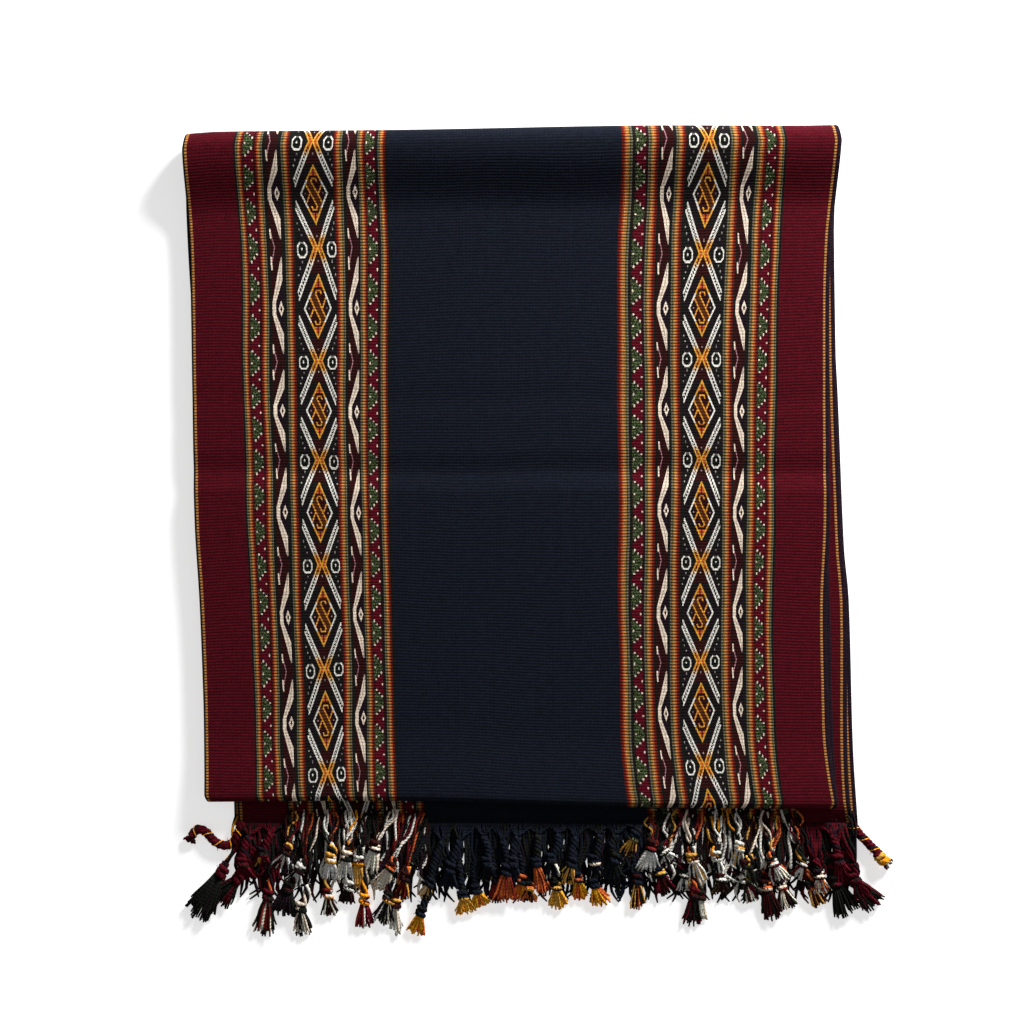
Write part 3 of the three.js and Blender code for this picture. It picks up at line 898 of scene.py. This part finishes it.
# The first tassels on the left are dyed mostly black, partly as painted shade where the fringe lies in
# shadow
LOWER_TASSELS = [
    (-188.3, -262.8, -205.1, -291.9, "kkkp", 1.6),
    (-177.9, -266.7, -192.2, -282.2, "kkkpm", 1.4),
    (-158.5, -278.3, -161.7, -303.6, "kkkrc", 1.2),
    (-145.5, -273.1, -150.0, -290.6, "kkp", 1.6), (-137.1, -286.1, -135.8, -304.3, "cck", 1.0),
    (-119.6, -277.0, -118.3, -291.3, "bkc", 0.9), (-106.0, -271.8, -107.9, -283.5, "kb", 0.9),
    (-96.2, -280.9, -96.2, -299.1, "mmcr", 1.0), (-80.7, -279.6, -83.9, -296.5, "pkc", 1.2),
    (-75.5, -283.5, -76.1, -303.6, "wc", 0.7), (-59.3, -288.7, -63.2, -303.6, "ggo", 1.0),
    (-32.1, -278.3, -29.5, -290.0, "ggy", 1.1), (-23.6, -274.4, -19.7, -285.5, "gog", 1.0),
    (-10.0, -268.0, -10.0, -282.9, "rkb", 1.0), (6.2, -268.0, 4.2, -281.6, "og", 1.0),
    (10.7, -271.8, 10.7, -282.9, "kyo", 0.9), (28.2, -271.8, 30.2, -286.8, "ggy", 1.0),
    (42.5, -266.7, 43.8, -280.9, "go", 0.9), (52.9, -270.5, 58.7, -284.8, "ggo", 1.0),
    (63.9, -260.2, 65.2, -271.8, "kn", 1.1), (80.7, -268.0, 81.4, -286.8, "yobk", 0.9),
    (95.6, -262.8, 100.2, -277.7, "kbm", 1.1), (111.2, -264.1, 109.3, -276.4, "wk", 0.9),
    (117.7, -277.0, 116.4, -297.8, "kmm", 1.0), (122.2, -278.3, 122.9, -295.2, "cc", 0.7),
    (135.2, -266.7, 135.8, -277.0, "kbe", 1.1), (151.4, -268.0, 158.5, -280.9, "kmc", 1.2),
    (164.4, -271.8, 169.5, -293.2, "kbm", 1.2), (174.1, -271.8, 179.9, -286.8, "kbc", 1.0),
    (193.5, -271.8, 200.7, -284.8, "bmy", 0.9), (209.7, -269.3, 218.2, -290.6, "k", 1.5),
    (223.3, -270.5, 236.3, -284.8, "kkm", 1.4),
]


class Yarns:
    """Gathers tubes of yarn into one mesh."""

    def __init__(self):
        self.points, self.faces, self.twist, self.dye = [], [], [], []
        self.count = 0

    def tube(self, line, radii, colour, sides=6):
        """A closed tube along a line of points, with a radius at each."""
        line = np.asarray(line, float)
        rows = len(line)
        radii = np.broadcast_to(np.asarray(radii, float), rows)
        step, side, lift = frame_along(line)
        turn = np.arange(sides) / sides * math.tau
        ring = np.cos(turn)[None, :, None] * side[:, None] + np.sin(turn)[None, :, None] * lift[:, None]
        points = line[:, None] + ring * radii[:, None, None]
        points[..., 2] = np.maximum(points[..., 2], LEAST_HEIGHT)
        index = np.arange(rows * sides).reshape(rows, sides) + self.count
        following = np.roll(index, -1, axis=1)
        walls = np.stack([index[:-1], following[:-1], following[1:], index[1:]], axis=-1)
        along = run_length(line) * MM
        share = np.arange(sides + 1) / sides
        low, high = along[:-1, None], along[1:, None]
        left, right = share[None, :-1], share[None, 1:]
        corners = np.broadcast_arrays(left, low, right, low, right, high, left, high)
        self.points.append(points.reshape(-1, 3))
        self.faces += walls.reshape(-1, 4).tolist() + [index[0, ::-1].tolist(), index[-1].tolist()]
        self.twist += [np.stack(corners, axis=-1).reshape(-1, 2), np.zeros((2 * sides, 2))]
        self.dye.append(np.broadcast_to(np.asarray(colour, float), (rows * sides, 4)))
        self.count += rows * sides

    def piece(self, name, material):
        points, maps = np.concatenate(self.points) * MM, {"Twist": np.concatenate(self.twist)}
        made = mesh_piece(name, points, self.faces, maps, np.concatenate(self.dye), "POINT")
        made.data.materials.append(material)
        return made


def frame_along(line):
    """Directions along, beside and above a line at each of its points."""
    step = np.gradient(line, axis=0)
    step /= np.linalg.norm(step, axis=1, keepdims=True) + 1e-9
    side = np.cross(step, [0.0, 0.0, 1.0])
    side[np.linalg.norm(side, axis=1) < 1e-3] = [1.0, 0.0, 0.0]
    side /= np.linalg.norm(side, axis=1, keepdims=True)
    return step, side, np.cross(side, step)


def run_length(line):
    steps = np.linalg.norm(np.diff(line, axis=0), axis=1)
    return np.concatenate([[0], np.cumsum(steps)])


def tint(rng, letters, spread=0.2):
    """One of the dyes, a little lighter or darker, as wool takes it unevenly."""
    colour = DYES[letters[rng.integers(len(letters))]]
    factor = 1 + rng.uniform(-spread, spread)
    return tuple(channel * factor for channel in colour[:3]) + (1.0,)


def smooth_line(corners, steps):
    """A rounded line through a few points."""
    corners = np.asarray(corners, float)
    rows = np.concatenate([np.arange(len(corners))[:, None], corners], axis=1)
    at = np.linspace(0, len(corners) - 1, steps)
    return np.stack([curve_through(rows, k, at) for k in (1, 2, 3)], axis=1)


def twisted(yarns, rng, line, plies, radius, wind, turn):
    """Plies of yarn that wind around one line."""
    _, side, lift = frame_along(line)
    start = rng.uniform(0, math.tau)
    for ply, letters in enumerate(plies):
        angle = run_length(line) / turn * math.tau + ply / len(plies) * math.tau + start
        offset = np.cos(angle)[:, None] * side + np.sin(angle)[:, None] * lift
        thickness = radius * rng.uniform(0.88, 1.1)
        yarns.tube(line + offset * wind, thickness, tint(rng, letters), 6)


def knot(yarns, rng, centre, heading, letters, size):
    """An overhand knot: yarns that wrap around the cord in slanting turns."""
    side = np.array([heading[1], -heading[0], 0.0])
    up = np.array([0.0, 0.0, 1.0])
    for wrap in range(3):
        t = np.linspace(0, 1, 14)
        angle = t * math.tau * 1.2 + wrap * 2.1
        slant = (t - 0.5) * size * rng.uniform(0.5, 1.3) + (wrap - 1) * size * 0.42
        line = centre + slant[:, None] * heading
        line = line + np.cos(angle)[:, None] * size * 0.62 * side
        line = line + np.sin(angle)[:, None] * size * 0.52 * up
        yarns.tube(line, size * 0.36, tint(rng, letters), 6)


def tuft(yarns, rng, start, tip, letters, fullness, floor_z):
    """Loose yarn ends that flare out of a knot and settle on what lies under them."""
    reach = tip - start
    length = np.linalg.norm(reach)
    heading = reach / length
    side = np.array([heading[1], -heading[0], 0.0])
    t = np.linspace(0, 1, 6)

    def strand(fan, rise, share, thickness, wave, sides):
        far = length * share * (1 - 0.12 * fan * fan)
        out = fan * fullness * (1.6 + 4.6 * t**0.8) + wave
        height = floor_z + thickness + rise * fullness * 4.6 * (1 - 0.5 * t)
        level = start[2] + (rise - 0.5) * 2.6
        line = start + (far * t)[:, None] * heading + out[:, None] * side
        z = level + (height - level) * np.minimum(t * 1.8, 1) ** 1.3
        line[:, 2] = np.maximum(z + 0.5 * wave, thickness + 0.05)
        radii = thickness * np.linspace(1.15, 0.72, len(t))
        # Painted light: the strand's dye is made lighter, up to a limit
        colour = [min(channel * TUFT_PAINTED_LIGHT, TUFT_CAP) for channel in tint(rng, letters, 0.25)[:3]]
        yarns.tube(line, radii, (*colour, 1.0), sides)

    for fan in (-0.62, -0.22, 0.22, 0.62):
        strand(fan, 0.3, 0.86, 1.35 * fullness, 0 * t, 6)
    for _ in range(int(STRANDS * fullness)):
        wave = rng.uniform(0.2, 0.8) * np.sin(t * rng.uniform(4, 9) + rng.uniform(0, 6)) * t
        fan, rise, share = rng.uniform(-1, 1), rng.uniform(0.1, 1), rng.uniform(0.74, 1.08)
        strand(fan, rise, share, STRAND_RADIUS, wave, 4)


def hairs(yarns, rng, line, letters, count):
    """Short wisps that stand off a cord."""
    for _ in range(count):
        start = line[rng.integers(2, len(line))]
        turn = rng.uniform(0, math.tau)
        way = np.array([math.cos(turn), math.sin(turn), rng.uniform(-0.2, 0.6)])
        curl = np.array([-way[1], way[0], -0.4]) * rng.uniform(-1.6, 1.6)
        t = np.linspace(0, 1, 4)[:, None]
        wisp = start + way * t * rng.uniform(2.2, 5.0) + curl * t**2
        wisp[:, 2] = np.maximum(wisp[:, 2], 0.3)
        yarns.tube(wisp, [0.3, 0.26, 0.22, 0.14], tint(rng, letters), 3)


def warps_at(x, edges):
    """The dyes of the warps that leave a cloth's end at x, and whether their stripe is plain."""
    left, right = edges
    share = min(max((x - left) / (right - left), 0.0), 0.999)
    kind = stripe_at(share * CLOTH_WIDTH)["kind"]
    return WARP_DYES[kind], kind in ("maroon", "navy")


def tassel(yarns, rng, root, row, edges, ride):
    """Warps that leave the cloth's edge, gather into a cord, and end in a knot and a tuft."""
    knot_x, knot_y, tip_x, tip_y, letters, fullness = row
    size = 3.2 + 0.8 * fullness
    centre = np.array([knot_x, knot_y, ride + size * 0.9])
    tip = np.array([tip_x, tip_y, centre[2]])
    heading = (tip - centre) / np.linalg.norm(tip - centre)

    spread = (np.arange(ROOT_YARNS) - (ROOT_YARNS - 1) / 2) * TASSEL_PITCH / ROOT_YARNS
    starts = root[0] + spread + rng.uniform(-0.5, 0.5, ROOT_YARNS)
    starts = np.clip(starts, edges[0] + 1, edges[1] - 1)
    dyes = [warps_at(start, edges) for start in starts]
    warps = "".join(letters for letters, _ in dyes)
    plain = all(alone for _, alone in dyes)

    share = rng.uniform(0.3, 0.42) if plain else rng.uniform(0.6, 0.82)
    gather = root + (centre - root) * share
    gather[0] += rng.uniform(-1.4, 1.4)
    gather[2] = max(ride + 3.1, root[2] * (1 - share))
    middle = (gather + centre) / 2 + np.array([rng.uniform(-2.2, 2.2), 0, 0.3])
    line = smooth_line([gather, middle, centre], 16)
    for start, (own, alone) in zip(starts, dyes):
        lead = 0.0 if alone else rng.uniform(3, 9)
        edge = np.array([start, root[1] + lead, root[2] + SHEET / 2 + 0.3 if lead else root[2]])
        corners = [edge]
        for step in (0.25, 0.5, 0.75):
            bend = edge + (gather - edge) * step
            bend[0] += (start - root[0]) * (1 - step) * 0.5
            bend[0] += rng.uniform(-1, 1) * (0.6 if alone else 2.2)
            bend[0] = np.clip(bend[0], edges[0] - 1, edges[1] + 1)
            bend[2] = max(bend[2] + rng.uniform(-0.2, 1.4), ride + 0.9)
            corners.append(bend)
        corners.append(gather + rng.uniform(-1, 1, 3) * [1.0, 1.5, 0.8])
        yarns.tube(smooth_line(corners, 11), ROOT_RADIUS, tint(rng, own), 5)
    if plain:
        twisted(yarns, rng, line, [warps] * 3, *CORD)
        hairs(yarns, rng, line, warps, 14)
    else:
        twisted(yarns, rng, line, [warps] * 5, *LOOSE_CORD)
        hairs(yarns, rng, line, warps, 5)
    knot(yarns, rng, centre, heading, warps + letters * 6, size)
    tuft(yarns, rng, centre + heading * size * 0.6, tip, letters, fullness, ride * 0.6)


def loose_warps(yarns, rng, end_y, edge_z, edges, ride):
    """Single warps that hang between the tassels and close the gaps, dyed mostly dark: partly painted
    shade in the gaps between the tassels.
    """
    for x in np.arange(edges[0] + 2, edges[1] - 2, LOOSE_PITCH):
        own, plain = warps_at(x, edges)
        # Partly painted shade: the black and dark dyes stand for the shade in the gaps between the tassels
        dyes = own + "kp" if plain else "kkbpkw"
        edge = np.array([x, end_y + 0.2, edge_z])
        reach = rng.uniform(*(UPPER_REACH if ride else LOWER_REACH))
        corners = [edge]
        for step in (0.3, 0.6, 0.85, 1.0):
            sway = 2.5 if step < 0.7 else 5.0
            bend = edge + np.array([rng.uniform(-sway, sway), -reach * step, 0.0])
            bend[2] = max(edge_z * (1 - step), ride + rng.uniform(0.9, 1.8))
            corners.append(bend)
        radii = np.interp(np.arange(10), [0, 7, 9], LOOSE_RADII)
        yarns.tube(smooth_line(corners, 10), radii, tint(rng, dyes), 5)


def fringe(rows, end_y, edge_z, edges, first_x, ride, seed):
    rng = np.random.default_rng(seed)
    yarns = Yarns()
    for number, row in enumerate(rows):
        root = np.array([first_x + number * TASSEL_PITCH, end_y + 0.1, edge_z])
        tassel(yarns, rng, root, row, edges, ride)
    loose_warps(yarns, rng, end_y, edge_z, edges, ride)
    return yarns


# Corner braids: x, y, height of the middle
LEFT_BRAID = [
    (-175.5, -230.8, 3.8), (-178.2, -238.5, 3.8), (-181.5, -244.0, 2.8), (-186.5, -245.8, 2.6),
    (-193.0, -243.4, 2.6), (-198.5, -237.5, 2.6), (-204.0, -235.2, 2.6), (-208.4, -239.8, 2.5),
]
RIGHT_BRAID = [
    (219.2, -230.8, 3.8), (225.8, -239.0, 3.8), (232.5, -246.0, 3.0), (238.6, -252.0, 3.0),
]


def corner_braids(yarns):
    rng = np.random.default_rng(41)
    for corners, plies in ((LEFT_BRAID, ["m", "m", "p"]), (RIGHT_BRAID, ["m", "p", "m"])):
        line = smooth_line(corners, 56)
        twisted(yarns, rng, line, plies, *BRAID)
        twisted(yarns, rng, line, ["g"], *BRAID_THREAD)
        hairs(yarns, rng, line, "mmg", 26)
    left_end, left_way = np.array([-208.6, -240.4, 2.4]), np.array([-0.35, -0.94, 0.0])
    tuft(yarns, rng, left_end, left_end + left_way * 3.5, "mmp", 0.7, 0.5)
    way = np.array([0.72, -0.69, 0.0])
    end = np.array([239.9, -254.6, 4.0])
    knot(yarns, rng, end, way, "ggy", 4.4)
    knot(yarns, rng, end - way * 3.0, way, "mgy", 3.4)
    tuft(yarns, rng, end + way * 1.8, end + way * 7.0, "ccmk", 0.7, 0.5)


# Stage
FLOOR_HALF_M = 40.0
FLOOR_TONE = 0.8
FLOOR_GLOW = 0.6
LIGHT_SIZE_M = 0.5
LIGHT_PLACE_M = (0.95, 1.35, 0.62)
LIGHT_POWER = 80
SKY_GLOW = 0.2


def floor():
    mesh = bpy.data.meshes.new("floor")
    half = FLOOR_HALF_M
    corners = [(-half, -half, 0), (half, -half, 0), (half, half, 0), (-half, half, 0)]
    mesh.from_pydata(corners, [], [(0, 1, 2, 3)])
    piece = add_object("floor", mesh)
    sh = Shader("pale_floor")
    surface = sh.node("BsdfPrincipled", Roughness=0.9)
    surface.inputs["Base Color"].default_value = (FLOOR_TONE, FLOOR_TONE, FLOOR_TONE, 1.0)
    surface.inputs["Emission Color"].default_value = (1.0, 1.0, 1.0, 1.0)
    surface.inputs["Emission Strength"].default_value = FLOOR_GLOW
    sh.node("OutputMaterial", Surface=surface.outputs[0])
    mesh.materials.append(sh.material)


def studio():
    data = bpy.data.lights.new("key", "AREA")
    data.size = LIGHT_SIZE_M
    data.energy = LIGHT_POWER
    light = add_object("key", data)
    light.location = LIGHT_PLACE_M
    light.rotation_euler = (-light.location).to_track_quat("-Z", "Y").to_euler()
    world = bpy.data.worlds.new("studio")
    world.use_nodes = True
    background = world.node_tree.nodes["Background"]
    background.inputs[0].default_value = (1, 1, 1, 1)
    background.inputs[1].default_value = SKY_GLOW
    bpy.context.scene.world = world
    bpy.context.scene.view_settings.view_transform = "Standard"


# Camera: straight above, with the picture's middle and scale set on the top layer
CAMERA_HEIGHT = 1300.0
PICTURE_WIDTH = 660.5
PICTURE_MIDDLE = (-0.3, -29.4)
SENSOR = 36.0


def camera():
    data = bpy.data.cameras.new("camera")
    data.sensor_width = SENSOR
    data.lens = SENSOR * CAMERA_HEIGHT / PICTURE_WIDTH
    made = add_object("camera", data)
    top = layer_base(3) + SHEET / 2
    made.location = (PICTURE_MIDDLE[0] * MM, PICTURE_MIDDLE[1] * MM, (top + CAMERA_HEIGHT) * MM)
    bpy.context.scene.camera = made


def build():
    floor()
    studio()
    camera()
    cloth = cloth_piece()
    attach(cloth, "root")
    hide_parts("cloth")

    yarn = yarn_material()
    upper_edges, lower_edges = EDGES_C[0][1:], EDGES_D[0][1:]
    first = LOWER_FIRST + TASSEL_PITCH / 2
    upper = fringe(UPPER_TASSELS, UPPER_END, layer_base(1), upper_edges, first, UPPER_RIDE, 7)
    corner_braids(upper)
    lower = fringe(LOWER_TASSELS, LOWER_END, layer_base(0), lower_edges, LOWER_FIRST, 0.0, 19)
    for name, node, yarns in (
        ("fringe_upper", "fringe_upper_end", upper),
        ("fringe_lower", "fringe_lower_end", lower),
    ):
        piece = yarns.piece(name, yarn)
        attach(piece, "root")
        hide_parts(node)


build()
